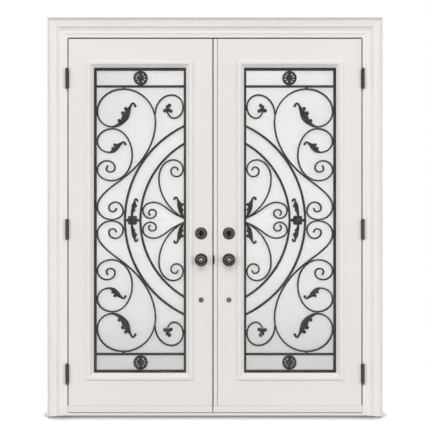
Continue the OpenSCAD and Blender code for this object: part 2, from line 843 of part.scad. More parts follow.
module lower_cap() {
    towards_room(cap_h) {
        rotate_extrude() polygon(concat([[0, 0], [cap_r, 0], [cap_r, 3]], arc([0, 3], [cap_r, 5], 0, 90, 7)));
        translate([0, 0, -leaf_t]) cylinder(r = through_bolt_r, h = leaf_t + past);
    }
}

module active_turn_rose() color(bronze) on_active() turn_rose();

module active_turn() color(bronze) on_active() turn();

module active_knob_rose() color(bronze) on_active() knob_rose();

module active_knob() color(bronze) on_active() knob();

module active_lower_cap() color(bronze) on_active() lower_cap();

module inactive_turn_rose() color(bronze) on_inactive() turn_rose();

module inactive_turn() color(bronze) on_inactive() above_skin() turn();

module inactive_knob_rose() color(bronze) on_inactive() knob_rose();

module inactive_knob() color(bronze) on_inactive() above_skin() knob();

module inactive_lower_cap() color(bronze) on_inactive() lower_cap();

// Outside trim
module cylinder_guard(bore) towards_outside(turn_h) difference() {
    rotate_extrude() polygon(concat([[0, 0], [30, 0], [30, 3]], arc([22, 3], [8, 11], 0, 90, 6), [[0, 14]]));
    if (bore) translate([0, 0, -past]) cylinder(r = plug_r + fit, h = 20);
}

module plug() towards_outside(turn_h) difference() {
    translate([0, 0, -6]) cylinder(r = plug_r, h = 21);
    translate([-1, -4.5, 5]) cube([2, 9, 20]);
}

module active_cylinder() color(bronze) on_active() cylinder_guard(true);

module inactive_cylinder() color(bronze) on_inactive() cylinder_guard(false);

module key_plug() color(steel) on_active() plug();

// Pull grip: a plate below the lock, a bar bent back to the leaf, and a foot over the through bolt
module rounded_plate(size) {
    r = size.x / 2;
    linear_extrude(size.z) {
        square([size.x, size.y - size.x], center = true);
        for (side = [-1, 1]) translate([0, side * (size.y / 2 - r)]) circle(r = r);
    }
}

module grip_bar() {
    span = knob_h - grip_drop - cap_h;
    leg = grip_reach - grip_bend;
    for (z = [0, -span]) translate([0, 0, z]) rotate([-90, 0, 0]) cylinder(r = grip_r, h = leg);
    translate([0, grip_reach, grip_bend - span]) cylinder(r = grip_r, h = span - 2 * grip_bend);
    for (end = [[-grip_bend, 90], [grip_bend - span, -90]])
        translate([0, leg, end[0]]) rotate([90, 0, 90]) rotate_extrude(angle = end[1])
            translate([grip_bend, 0]) circle(r = grip_r);
}

module grip(lever_slot) {
    difference() {
        union() {
            towards_outside(knob_h) rounded_plate(grip_plate);
            towards_outside(cap_h) cylinder(r1 = 17, r2 = 13, h = grip_plate.z);
            translate([lock_x, leaf_t, knob_h - grip_drop]) grip_bar();
        }
        if (lever_slot) translate([lock_x, leaf_t - past, knob_h + lever_rise - 0.65 * lever_slot_h])
            translate([-lever_size.x / 2 - slack, 0, 0])
                cube([lever_size.x + 2 * slack, grip_plate.z + 2 * past, lever_slot_h]);
        if (lever_slot) lever_pin(lever_pin_r + fit, lever_pin_reach + play);
    }
}

// Pivot of the thumb lever, in the middle of the grip's plate
module lever_pin(r, reach) {
    length = lever_size.x + 2 * reach;
    translate([lock_x - length / 2, leaf_t + grip_plate.z / 2, knob_h + lever_rise]) rotate([0, 90, 0])
        cylinder(r = r, h = length);
}

module lever() {
    paddle_r = 12;
    translate([lock_x, leaf_t, knob_h + lever_rise - lever_size.z / 2]) {
        translate([-lever_size.x / 2, 2, 0]) cube(lever_size);
        translate([0, lever_size.y, 0]) cylinder(r = paddle_r, h = lever_size.z);
    }
    lever_pin(lever_pin_r, lever_pin_reach);
}

module active_grip() color(bronze) on_active() grip(true);

module thumb_lever() color(bronze) on_active() lever();

module inactive_grip() color(bronze) on_inactive() {
    grip(false);
    lever();
}

// Lock cases in the edge of the active leaf, with their bolts drawn back
module lock_case(h) difference() {
    translate([0, lock_y, h]) {
        translate([leaf_w - face_t, -face_size.x / 2, -face_size.y / 2])
            cube([face_t, face_size.x, face_size.y]);
        translate([leaf_w - case_len, 0, 0]) rotate([0, 90, 0])
            cylinder(r = case_r, h = case_len - face_t / 2);
    }
    translate([leaf_w - case_len - past, lock_y - bolt_size.x / 2 - play, h - bolt_size.y / 2 - play])
        cube([case_len + 2 * past, bolt_size.x + 2 * play, bolt_size.y + 2 * play]);
}

module bolt_bar(h, head) {
    tail_r = 4;
    translate([leaf_w - head - slack, lock_y - bolt_size.x / 2, h - bolt_size.y / 2])
        cube([head, bolt_size.x, bolt_size.y]);
    translate([lock_x + spindle_r + 2, lock_y, h]) rotate([0, 90, 0])
        cylinder(r = tail_r, h = backset - spindle_r - 2 - slack - head / 2);
}

module latch_case() color(steel) on_active() lock_case(knob_h);

module bolt_case() color(steel) on_active() lock_case(turn_h);

module bolt() color(steel) on_active() bolt_bar(turn_h, 28);

// The latch has a slope on its outside, which meets the strike as the leaf closes
module latch() color(steel) on_active() difference() {
    tip = 3;
    slope = bolt_size.x - tip + past;
    bolt_bar(knob_h, 20);
    translate([leaf_w - slack, lock_y + bolt_size.x / 2, knob_h - bolt_size.y])
        linear_extrude(2 * bolt_size.y) polygon([[past, past], [past, -slope], [-slope, past]]);
}

// Astragal on the meeting edge of the inactive leaf
module strike_bores(h, size, depth) {
    translate([leaf_w + astragal_w - depth, lock_y - size.x / 2 - 1, h - size.y / 2 - 1])
        cube([depth + past, size.x + 2, size.y + 2]);
}

module strike_seat(h, half) {
    translate([leaf_w + astragal_w - strike_t, -past, h - half])
        cube([strike_t + past, strike_back + past, 2 * half]);
}

module flush_channel() {
    translate([flush_x, flush_y, -past])
        cylinder(r = flush_r + fit, h = flush_len + 2 * past + flush_throw + slack);
    translate([flush_x, flush_y - tab_w / 2 - slack, flush_slot[0]])
        cube([astragal_w, tab_w + 2 * slack, flush_slot[1] - flush_slot[0]]);
}

module astragal() color(white) on_inactive() difference() {
    translate([leaf_w, 0, 0]) cube([astragal_w, leaf_t, leaf_h]);
    translate([leaf_w - past, -past, -past]) cube([groove.x + past, groove.y + past, leaf_h + 2 * past]);
    strike_bores(knob_h, bolt_size, latch_throw - meeting_gap + slack);
    strike_bores(turn_h, bolt_size, bolt_throw - meeting_gap + slack);
    strike_seat(knob_h, latch_strike_half);
    strike_seat(turn_h, bolt_strike_half);
    flush_channel();
    at_head() flush_channel();
}

module astragal_seal() color(black) on_inactive() translate([leaf_w + astragal_w, seal_y, 0])
    linear_extrude(leaf_h) polygon(concat([[0, 0]], arc([0, 3], [seal_proud, 3], -60, 60, 6), [[0, 6]]));

module strike_plate(h, half) {
    difference() {
        translate([leaf_w + astragal_w - strike_t, 0, h - half]) cube([strike_t, strike_back, 2 * half]);
        strike_bores(h, bolt_size, astragal_w / 2);
    }
}

module strike_plates() color(bronze) on_inactive() {
    lip_t = 1.2;
    lip_w = 7;
    strike_plate(knob_h, latch_strike_half);
    strike_plate(turn_h, bolt_strike_half);
    slab(-lip_t, 0) intersection() {
        translate([leaf_w + astragal_w, knob_h]) scale([lip_w / latch_strike_half, 1])
            circle(r = latch_strike_half);
        translate([leaf_w, knob_h - latch_strike_half]) square([astragal_w, 2 * latch_strike_half]);
    }
}

// Flush bolts, drawn back into the astragal
module flush_bolt() {
    tab_h = 24;
    translate([flush_x, flush_y, slack]) cylinder(r = flush_r, h = flush_len);
    translate([flush_x, flush_y - tab_w / 2, flush_slot[1] - play - tab_h])
        cube([astragal_w / 2 - slack, tab_w, tab_h]);
}

module flush_bolt_bottom() color(steel) on_inactive() flush_bolt();

module flush_bolt_top() color(steel) on_inactive() at_head() flush_bolt();

left_jamb();
right_jamb();
head_jamb();
left_casing();
right_casing();
head_casing();
threshold();
frame_seals();
hinge_frame_plates();
hinge_pins();
active_inner_skin();
active_outer_skin();
active_edge_frame();
active_core();
active_lite_inner_frame();
active_lite_outer_frame();
active_inner_pane();
active_outer_pane();
active_spacer();
active_grille();
active_sweep();
active_hinge_plates();
active_turn_rose();
active_knob_rose();
active_lower_cap();
active_grip();
active_cylinder();
latch_case();
bolt_case();
active_turn();
active_knob();
key_plug();
thumb_lever();
latch();
bolt();
inactive_inner_skin();
inactive_outer_skin();
inactive_edge_frame();
inactive_core();
inactive_lite_inner_frame();
inactive_lite_outer_frame();
inactive_inner_pane();
inactive_outer_pane();
inactive_spacer();
inactive_grille();
inactive_sweep();
inactive_hinge_plates();
inactive_turn_rose();
inactive_knob_rose();
inactive_lower_cap();
inactive_grip();
inactive_cylinder();
astragal();
astragal_seal();
strike_plates();
inactive_turn();
inactive_knob();
flush_bolt_top();
flush_bolt_bottom();
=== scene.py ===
"""Looks for the double steel entry door: materials, iron relief, screws, seals, floor, light and camera."""

import json
import math

import bmesh
import bpy
from mathutils import Matrix, Vector


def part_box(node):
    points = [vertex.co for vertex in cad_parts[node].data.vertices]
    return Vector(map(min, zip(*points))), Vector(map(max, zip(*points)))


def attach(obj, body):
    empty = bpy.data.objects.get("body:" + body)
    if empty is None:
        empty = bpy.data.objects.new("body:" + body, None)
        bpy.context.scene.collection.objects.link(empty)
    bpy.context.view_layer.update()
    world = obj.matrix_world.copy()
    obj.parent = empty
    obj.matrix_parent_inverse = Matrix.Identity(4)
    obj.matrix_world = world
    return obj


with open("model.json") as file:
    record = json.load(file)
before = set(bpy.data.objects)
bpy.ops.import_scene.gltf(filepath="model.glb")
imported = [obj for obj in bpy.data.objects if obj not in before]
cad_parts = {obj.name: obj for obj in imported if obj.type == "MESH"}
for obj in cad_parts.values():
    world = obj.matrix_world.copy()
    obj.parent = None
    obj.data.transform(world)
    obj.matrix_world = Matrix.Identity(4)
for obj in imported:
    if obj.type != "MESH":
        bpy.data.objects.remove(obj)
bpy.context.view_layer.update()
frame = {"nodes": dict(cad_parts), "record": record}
NODES = frame["nodes"]
MM = 0.001
SIDES = {"active": -1, "inactive": 1}


# Places of the CAD model, in millimetres

def corners(node):
    """Lowest and highest corner of a CAD node."""
    return [Vector([round(v / MM, 2) for v in corner]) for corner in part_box(node)]


def middle(node):
    low, high = corners(node)
    return (low + high) / 2


LEAF_LOW, LEAF_HIGH = corners("inactive_inner_skin")
LEAF_X = LEAF_HIGH.x
LEAF_Z = LEAF_LOW.z
LEAF_TOP = LEAF_HIGH.z
LEAF_T = corners("inactive_outer_skin")[1].y
LOCK_EDGES = {"active": corners("active_inner_skin")[1].x, "inactive": corners("astragal")[0].x}
JAMB_X = corners("threshold")[1].x
HEAD_GAP = 5.5
HEAD_Z = LEAF_TOP + HEAD_GAP
SWEEP_TOP = corners("active_sweep")[1].z
KNOB_AXIS = middle("inactive_knob_rose")
TURN_AXIS = middle("inactive_turn_rose")
HINGE_ZS = (225.0, 1001.0, 1811.0)


# Node trees

WHITE = (1, 1, 1, 1)
NOISE_RANGE = (0.3, 0.7)


class Tree:
    """The node tree of a material or a world, with short ways to add and join nodes."""

    def __init__(self, owner, clear=False):
        owner.use_nodes = True
        self.owner = owner
        self.nodes = owner.node_tree.nodes
        self.links = owner.node_tree.links
        if clear:
            self.nodes.clear()

    def join(self, value, socket):
        """Links another node's output to a socket, or sets the socket's own value."""
        if isinstance(value, bpy.types.NodeSocket):
            self.links.new(value, socket)
        else:
            socket.default_value = value

    def fill(self, node, inputs):
        for name, value in inputs.items():
            self.join(value, node.inputs[name.replace("_", " ")])

    def add(self, kind, settings=None, **inputs):
        """A new shader node with its settings and named inputs."""
        node = self.nodes.new("ShaderNode" + kind)
        for name, value in (settings or {}).items():
            setattr(node, name, value)
        self.fill(node, inputs)
        return node

    def combine(self, kind, values, settings=None):
        """The output of a new node that takes the values in the order of its inputs."""
        node = self.add(kind, settings)
        for value, socket in zip(values, node.inputs):
            self.join(value, socket)
        return node.outputs[0]

    def mapped(self, vector, **inputs):
        return self.add("Mapping", Vector=vector, **inputs).outputs["Vector"]

    def coordinates(self, scale=(1, 1, 1)):
        """Places on the object in metres, stretched by scale."""
        return self.mapped(self.add("TexCoord").outputs["Object"], Scale=scale)

    def length(self, vector):
        return self.add("VectorMath", {"operation": "LENGTH"}, Vector=vector).outputs["Value"]

    def along(self, axis, vector):
        return self.add("SeparateXYZ", Vector=vector).outputs[axis]

    def noise(self, vector, scale, detail=3.0, rough=0.5):
        made = self.add("TexNoise", Vector=vector, Scale=scale, Detail=detail, Roughness=rough)
        return made.outputs["Fac"]

    def remap(self, value, source, target=(0.0, 1.0), **settings):
        """A value moved from one range to another and kept inside it."""
        made = self.add("MapRange", settings, Value=value, From_Min=source[0], From_Max=source[1],
                        To_Min=target[0], To_Max=target[1])
        return made.outputs["Result"]

    def by_height(self, vector, heights, values=(0.0, 1.0)):
        """A value that changes between two heights, in millimetres."""
        return self.remap(self.along("Z", vector), [h * MM for h in heights], values)

    def spread(self, noise, low, high):
        """The middle range of a noise moved to low and high."""
        return self.remap(noise, NOISE_RANGE, (low, high))

    def ramp(self, fac, stops):
        """Colours blended between (place, colour) stops."""
        made = self.add("ValToRGB", Fac=fac)
        elements = made.color_ramp.elements
        while len(elements) < len(stops):
            elements.new(0.5)
        for element, (at, colour) in zip(elements, stops):
            element.position = at
            element.color = (*colour, 1)
        return made.outputs["Color"]

    def shaded(self, colour, vector, heights, factors):
        """A colour times a factor that changes between two heights, in millimetres."""
        factor = self.by_height(vector, heights, factors)
        return self.add("VectorMath", {"operation": "SCALE"}, Vector=colour, Scale=factor).outputs["Vector"]

    def bump(self, heights, distance, strength):
        """The normals of a surface that is bumped by the sum of the heights."""
        total = heights[0]
        for height in heights[1:]:
            total = self.combine("Math", (total, height), {"operation": "ADD"})
        return self.add("Bump", Height=total, Distance=distance, Strength=strength).outputs["Normal"]

    def surface(self, **inputs):
        """Fills the Principled BSDF's inputs and gives back the material."""
        self.fill(self.nodes["Principled BSDF"], inputs)
        return self.owner


def scaled(colour, k):
    return tuple(c * k for c in colour)


# Materials

def paint(name, colour, grain=None, roughness=(0.36, 0.46), painted_shade=None):
    """Satin paint: faint patches, roller stipple and, on timber, raised grain along one axis.

    The last argument gives painted shade as (two heights in millimetres, factors of the colour there): a
    foot darkened near the floor, or a dark band at a ledge."""
    tree = Tree(bpy.data.materials.new(name))
    v = tree.coordinates()
    patches = tree.noise(v, scale=3.5, detail=4.0)
    tone = tree.ramp(patches, [(0.3, scaled(colour, 0.985)), (0.7, scaled(colour, 1.012))])
    # Painted shade: the colour darkens between two heights, standing for shade at a foot or a ledge
    if painted_shade:
        tone = tree.shaded(tone, v, *painted_shade)
    heights = [tree.noise(v, scale=620.0, detail=2.0)]
    if grain:
        heights.append(tree.noise(tree.coordinates(grain), scale=60.0, detail=4.0, rough=0.6))
    return tree.surface(Base_Color=tone, Roughness=tree.spread(tree.noise(v, scale=26.0), *roughness),
                        Normal=tree.bump(heights, distance=0.0004, strength=0.10), Specular_IOR_Level=0.4)


def wrought_iron(name):
    """Blackened iron with hammer marks."""
    tree = Tree(bpy.data.materials.new(name))
    v = tree.coordinates()
    hammer = tree.add("TexVoronoi", {"feature": "SMOOTH_F1"}, Vector=v, Scale=130.0).outputs["Distance"]
    mottled = tree.noise(v, scale=55.0, detail=5.0, rough=0.6)
    tone = tree.ramp(mottled, [(0.3, (0.022, 0.021, 0.020)), (0.55, (0.030, 0.029, 0.0275)),
                               (0.75, (0.044, 0.042, 0.039))])
    return tree.surface(Base_Color=tone, Roughness=tree.spread(mottled, 0.50, 0.68),
                        Normal=tree.bump([hammer, mottled], distance=0.0012, strength=0.5),
                        Specular_IOR_Level=0.22)


def bronze(tree, tone, rubbed, roughness):
    """The surface that all bronzes share: rougher where worn, with a fine cast skin."""
    fine = tree.noise(tree.coordinates(), scale=900.0, detail=2.0)
    return tree.surface(Base_Color=tone, Roughness=tree.spread(rubbed, *roughness),
                        Normal=tree.bump([fine], distance=0.0002, strength=0.12), Metallic=0.9)


def dark_bronze(name, dark, mid, light, roughness):
    """Oil-rubbed bronze: brown-black, worn lighter in patches."""
    tree = Tree(bpy.data.materials.new(name))
    rubbed = tree.noise(tree.coordinates(), scale=70.0, detail=5.0, rough=0.65)
    tone = tree.ramp(rubbed, [(0.32, dark), (0.56, mid), (0.78, light)])
    return bronze(tree, tone, rubbed, roughness)


BRONZE_TINT = (1.0, 0.91, 0.81)
RING_REACH = 36.0
RAGGED = 3.0
SHADE_UNDER_AXIS = (-4.0, 6.0)


def ring_painted_bronze(name, axis, rings, roughness, low=1.0):
    """Bronze in lighter and darker rings about a lock's axis, as painted reflections and highlights with
    ragged worn edges, and down to low times that under the axis as painted shade.

    Rings are (radius in millimetres, grey). The axis is the inactive leaf's; the active one mirrors it."""
    tree = Tree(bpy.data.materials.new(name))
    v = tree.coordinates()
    mirrored = tree.combine("VectorMath", (v,), {"operation": "ABSOLUTE"})
    centred = tree.mapped(mirrored, Location=(-axis.x * MM, 0, -axis.z * MM))
    away = tree.length(tree.mapped(centred, Scale=(1, 0, 1)))
    rubbed = tree.noise(v, scale=160.0, detail=4.0, rough=0.6)
    ragged = tree.combine("Math", (rubbed, RAGGED * MM, away), {"operation": "MULTIPLY_ADD"})
    reach = tree.remap(ragged, (RAGGED / 2 * MM, (RING_REACH + RAGGED / 2) * MM))
    tone = tree.ramp(reach, [(r / RING_REACH, scaled(BRONZE_TINT, grey)) for r, grey in rings])
    # Painted shade: under the axis the colour falls to low times itself, as if shaded from the light above
    if low < 1.0:
        tone = tree.shaded(tone, centred, SHADE_UNDER_AXIS, (low, 1.0))
    return bronze(tree, tone, rubbed, roughness)


def metal(name, colour, roughness=(0.26, 0.40)):
    """Metal brushed up and down."""
    tree = Tree(bpy.data.materials.new(name))
    lines = tree.noise(tree.coordinates((1, 1, 0.06)), scale=40.0)
    tone = tree.ramp(lines, [(0.3, scaled(colour, 0.88)), (0.7, scaled(colour, 1.05))])
    return tree.surface(Base_Color=tone, Roughness=tree.spread(lines, *roughness),
                        Normal=tree.bump([lines], distance=0.0002, strength=0.15), Metallic=1.0)


def rubber(name):
    tree = Tree(bpy.data.materials.new(name))
    fine = tree.noise(tree.coordinates(), scale=300.0)
    tone = tree.ramp(fine, [(0.3, (0.012, 0.012, 0.012)), (0.7, (0.022, 0.022, 0.021))])
    return tree.surface(Base_Color=tone, Roughness=tree.spread(fine, 0.65, 0.85),
                        Normal=tree.bump([fine], distance=0.0003, strength=0.2))


def softwood(name):
    """Bare timber with upright grain."""
    tree = Tree(bpy.data.materials.new(name))
    rings = tree.noise(tree.coordinates((22, 22, 1.2)), scale=9.0, detail=6.0, rough=0.6)
    tone = tree.ramp(rings, [(0.3, (0.42, 0.29, 0.16)), (0.5, (0.60, 0.45, 0.28)),
                             (0.7, (0.68, 0.54, 0.36))])
    return tree.surface(Base_Color=tone, Roughness=tree.spread(rings, 0.6, 0.8),
                        Normal=tree.bump([rings], distance=0.0004, strength=0.25))


def foam(name):
    tree = Tree(bpy.data.materials.new(name))
    cells = tree.noise(tree.coordinates(), scale=450.0)
    tone = tree.ramp(cells, [(0.3, (0.55, 0.48, 0.25)), (0.7, (0.72, 0.65, 0.38))])
    return tree.surface(Base_Color=tone, Roughness=0.9,
                        Normal=tree.bump([cells], distance=0.0008, strength=0.4))


def clear_glass(name):
    """A pane with a faint wave in it."""
    tree = Tree(bpy.data.materials.new(name))
    wave = tree.noise(tree.coordinates(), scale=4.0, detail=1.0)
    return tree.surface(Base_Color=(0.985, 0.99, 0.985, 1), Roughness=0.02, IOR=1.18,
                        Transmission_Weight=1.0, Normal=tree.bump([wave], distance=0.001, strength=0.03))


# Painted shade on the frosted pane: its colour is palest in the middle of its height and darker towards its
# foot and head
PANE_HEIGHTS = (220.0, 1880.0)
PANE_END = (0.69, 0.682, 0.683)
PANE_SHOULDER = (0.82, 0.811, 0.812)
PANE_MIDDLE = (0.90, 0.891, 0.892)


def frosted_glass(name):
    """Acid-etched pane with painted shade: palest in the middle of its height, darker towards its foot and
    head.
    """
    tree = Tree(bpy.data.materials.new(name))
    v = tree.coordinates()
    tone = tree.ramp(tree.by_height(v, PANE_HEIGHTS),
                     [(0.05, PANE_END), (0.22, PANE_SHOULDER), (0.5, PANE_MIDDLE), (0.78, PANE_SHOULDER),
                      (0.98, PANE_END)])
    etched = tree.noise(v, scale=800.0, detail=2.0)
    return tree.surface(Base_Color=tone, Roughness=0.5, IOR=1.45, Transmission_Weight=0.75,
                        Normal=tree.bump([etched], distance=0.0003, strength=0.1))


LEAF_WHITE = (0.800, 0.768, 0.746)
FRAME_WHITE = (0.815, 0.785, 0.763)
SILL_WHITE = (0.775, 0.770, 0.745)
UPRIGHT_GRAIN = (1, 1, 0.05)
LEVEL_GRAIN = (0.05, 1, 1)
MOULDED = (0.40, 0.50)
# Painted shade: the sweep's top 2.6 mm darkened to 0.76, a painted shadow line along its edge
SWEEP_TOP_SHADE = ((SWEEP_TOP - 3.2, SWEEP_TOP - 2.6), (1.0, 0.76))
# Painted shade: the sill darkened to 0.45 at its foot, back to full colour 7 mm up, as contact shade
SILL_FOOT_SHADE = ((2.0, 7.0), (0.45, 1.0))
# Painted reflections and highlights as (radius in millimetres, grey): the knob's bright middle and its dark
# and light rings stand for what a polished ball reflects; the roses get a lighter highlight ring inside a
# dark rim
KNOB_REFLECTION_RINGS = ((0, 0.46), (10.5, 0.44), (13.0, 0.06), (18.0, 0.055), (21.0, 0.25), (23.5, 0.24), (25.5, 0.06))
KNOB_ROSE_HIGHLIGHT_RINGS = ((0, 0.035), (26, 0.035), (30, 0.055), (33, 0.035))
TURN_ROSE_HIGHLIGHT_RINGS = ((0, 0.10), (21, 0.11), (25.0, 0.155), (27.5, 0.04), (33, 0.03))

leaf_paint = paint("leaf_paint", LEAF_WHITE)
# Painted light: the upright jambs and casings get the frame paint 4% lighter than the head's parts, which
# stay in shade
upright_lit_paint = paint("frame_paint_upright_lit", scaled(FRAME_WHITE, 1.04), UPRIGHT_GRAIN)
level_paint = paint("frame_paint_level", FRAME_WHITE, LEVEL_GRAIN)
moulded_paint = paint("moulded_paint", scaled(LEAF_WHITE, 1.01), roughness=MOULDED)
sweep_paint = paint("sweep_paint", scaled(LEAF_WHITE, 0.98), roughness=MOULDED, painted_shade=SWEEP_TOP_SHADE)
sill_mat = paint("sill_finish", SILL_WHITE, LEVEL_GRAIN, roughness=(0.34, 0.44), painted_shade=SILL_FOOT_SHADE)
iron_mat = wrought_iron("wrought_iron")
bronze_mat = dark_bronze("dark_bronze", (0.050, 0.043, 0.036), (0.085, 0.072, 0.058), (0.150, 0.122, 0.092),
                         roughness=(0.30, 0.46))
blade_mat = dark_bronze("blade_bronze", (0.012, 0.011, 0.010), (0.018, 0.016, 0.014), (0.034, 0.030, 0.025),
                        roughness=(0.40, 0.52))
cap_mat = dark_bronze("cap_bronze", (0.11, 0.090, 0.075), (0.16, 0.130, 0.108), (0.22, 0.180, 0.150),
                      roughness=(0.34, 0.46))
# The knob's painted shade under its axis goes down to 0.30 of its colour
knob_mat = ring_painted_bronze("knob_bronze", KNOB_AXIS, KNOB_REFLECTION_RINGS, roughness=(0.24, 0.34), low=0.30)
knob_rose_mat = ring_painted_bronze("knob_rose_bronze", KNOB_AXIS, KNOB_ROSE_HIGHLIGHT_RINGS, roughness=(0.36, 0.48))
turn_rose_mat = ring_painted_bronze("turn_rose_bronze", TURN_AXIS, TURN_ROSE_HIGHLIGHT_RINGS, roughness=(0.40, 0.52))
lock_mat = metal("lock_steel", (0.52, 0.50, 0.47))
plug_mat = metal("key_plug_metal", (0.24, 0.21, 0.16), roughness=(0.34, 0.46))
spacer_mat = metal("spacer_metal", (0.55, 0.55, 0.55))
rubber_mat = rubber("seal_rubber")
timber_mat = softwood("softwood")
foam_mat = foam("foam")
inner_glass = clear_glass("clear_glass")
outer_glass = frosted_glass("frosted_glass")

BY_SLOT = {"leaf_paint": leaf_paint, "leaf_paint_astragal": leaf_paint, "lite_frame": moulded_paint,
           "sweep": sweep_paint, "frame_paint": upright_lit_paint, "timber": timber_mat, "foam": foam_mat,
           "glass": inner_glass, "spacer": spacer_mat, "grille_iron": iron_mat, "bronze": bronze_mat,
           "lock_steel": lock_mat, "sill_metal": sill_mat, "seal_rubber": rubber_mat}
BY_NODE = {"head_jamb": level_paint, "head_casing": level_paint, "key_plug": plug_mat}
for lead in SIDES:
    BY_NODE.update({lead + "_outer_pane": outer_glass, lead + "_knob": knob_mat,
                    lead + "_knob_rose": knob_rose_mat, lead + "_turn_rose": turn_rose_mat,
                    lead + "_turn": blade_mat, lead + "_lower_cap": cap_mat})
for entry in frame["record"]["subparts"]:
    chosen = BY_NODE.get(entry["node"], BY_SLOT[entry["material_slot"]])
    for place in NODES[entry["node"]].material_slots:
        place.link = "OBJECT"
        place.material = chosen


# Soft edges on the CAD solids, and a coat on the iron, in millimetres

LEAF_EDGES = {"grille": 0.8, "lite_inner_frame": 0.6, "lite_outer_frame": 0.6, "sweep": 0.5, "turn": 0.7,
              "grip": 0.7}
TRIM_EDGE = 0.6
IRON_COAT = 0.75
WELD = 0.01
EDGE_ANGLE = math.radians(35)
EDGE_STEPS = 2


def soften(node, width, coat=0.0):
    """Rounds a node's edges, under a coat of the given thickness."""
    modifiers = NODES[node].modifiers
    modifiers.new("weld", "WELD").merge_threshold = WELD * MM
    if coat:
        swell = modifiers.new("coat", "DISPLACE")
        swell.strength = coat * MM
        swell.mid_level = 0.0
    bevel = modifiers.new("edges", "BEVEL")
    bevel.width = width * MM
    bevel.segments = EDGE_STEPS
    bevel.limit_method = "ANGLE"
    bevel.angle_limit = EDGE_ANGLE
    bevel.harden_normals = True


for lead in SIDES:
    for name, width in LEAF_EDGES.items():
        soften(f"{lead}_{name}", width, coat=IRON_COAT if name == "grille" else 0.0)
for node in ("left_casing", "right_casing", "head_casing", "threshold", "astragal"):
    soften(node, TRIM_EDGE)


# Pieces

def piece(name, bm, mat, body):
    """Turns a finished mesh into a piece that rides on a body."""
    mesh = bpy.data.meshes.new(name)
    bmesh.ops.recalc_face_normals(bm, faces=bm.faces)
    bm.to_mesh(mesh)
    bm.free()
    mesh.materials.append(mat)
    obj = bpy.data.objects.new(name, mesh)
    bpy.context.scene.collection.objects.link(obj)
    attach(obj, body)


def bridge(bm, low, high, smooth=0):
    """Faces between two rings of points, the first few of them smooth."""
    n = len(low)
    for k in range(n):
        j = (k + 1) % n
        bm.faces.new([low[k], low[j], high[j], high[k]]).smooth = k < smooth


def rod(bm, rows, smooth=0):
    """A closed solid along rows of points."""
    for low, high in zip(rows, rows[1:]):
        bridge(bm, low, high, smooth)
    bm.faces.new(rows[0])
    bm.faces.new(list(reversed(rows[-1])))


def circle(steps):
    """Directions round a full turn."""
    return [Vector((math.cos(a), math.sin(a))) for a in (math.tau * i / steps for i in range(steps))]


def lathe(bm, profile, steps, place):
    """Turns a profile of (radius, height) about the place's Z axis; it starts and ends on the axis."""
    rings = []
    for r, h in profile:
        ways = circle(steps) if r else [Vector((0, 0))]
        rings.append([bm.verts.new(place @ Vector((r * way.x, r * way.y, h))) for way in ways])
    for low, high in zip(rings, rings[1:]):
        for i in range(steps):
            j = (i + 1) % steps
            quad = [low[i % len(low)], low[j % len(low)], high[j % len(high)], high[i % len(high)]]
            bm.faces.new(list(dict.fromkeys(quad))).smooth = True


# Iron relief on both faces of the grilles, in millimetres from the middle of the CAD source's drawing

IRON_LEAVES = (
    ((-151, 504), (-106, 523), (-80, 557), (-66, 588), (-53, 613), (-40, 631), (-27, 617)),
    ((-167, 366), (-143, 376), (-124, 398), (-106, 412), (-90, 422), (-81, 411)),
    ((235, 16), (220, 46), (213, 83), (204, 108), (194, 124), (185, 115)),
    ((-45, 22), (-41, 52), (-33, 82), (-30, 103), (-24, 115), (-16, 106)),
)
LOBES = ((-113, 537, 9), (-92, 577, 11), (-78, 602, 9), (-149, 388, 7), (-137, 407, 8), (227, 85, 8),
         (227, 57, 7), (-24, 77, 7), (-33, 53, 6), (149, 597, 13), (133, 591, 9), (166, 589, 9),
         (158, 620, 9), (145, 613, 7))
ROSETTE = (2, 767)
HUB = (-42, 0)
DRAWN_HALF = 807.3
BORDER = 15.4
RELIEF = 2.4
RIB_HALF = 3.2
LOBE_SHARE = 0.74
PATH_STEPS = 6
RING_STEPS = 40
# Sections as (place across, share of the height), with their feet sunk in the iron
RIDGE = ((-1, -0.2), (-0.55, 0.6), (0, 1), (0.55, 0.6), (1, -0.2))
ROUND = ((0, -0.2), (0.2, 0.7), (0.5, 1), (0.8, 0.7), (1, -0.2))
DOME = ((1, -0.2), (0.9, 0.35), (0.65, 0.75), (0.33, 0.95))


def placer(lead, side, face, flip):
    """A function that puts a point of the drawing, raised by a height, on one face of a grille."""
    low, high = corners(lead + "_grille")
    half = (high - low) / 2
    stretch = (half.z - BORDER) / DRAWN_HALF

    def put(at, height):
        away = Vector((-side * at.x, face * (half.y + height), flip * stretch * at.y))
        return (low + half + away) * MM
    return put


def smooth_path(points):
    """Catmull-Rom points through the given ones."""
    p = [Vector(q) for q in points]
    p = [2 * p[0] - p[1]] + p + [2 * p[-1] - p[-2]]
    path = []
    for a, b, c, d in zip(p, p[1:], p[2:], p[3:]):
        for i in range(PATH_STEPS):
            t = i / PATH_STEPS
            path.append(0.5 * (2 * b + (c - a) * t + (2 * a - 5 * b + 4 * c - d) * t * t
                               + (3 * b - a - 3 * c + d) * t * t * t))
    return path + [p[-2]]


def rib(bm, put, path, half, height):
    """A ridge along a flat path, highest in its middle, thin at its ends."""
    rows = []
    n = len(path) - 1
    for i, at in enumerate(path):
        way = (path[min(i + 1, n)] - path[max(i - 1, 0)]).normalized()
        across = Vector((-way.y, way.x))
        swell = math.sin(math.pi * (0.08 + 0.86 * i / n)) ** 0.7
        rows.append([bm.verts.new(put(at + across * half * swell * s, height * swell * h))
                     for s, h in RIDGE])
    rod(bm, rows, smooth=len(RIDGE) - 1)


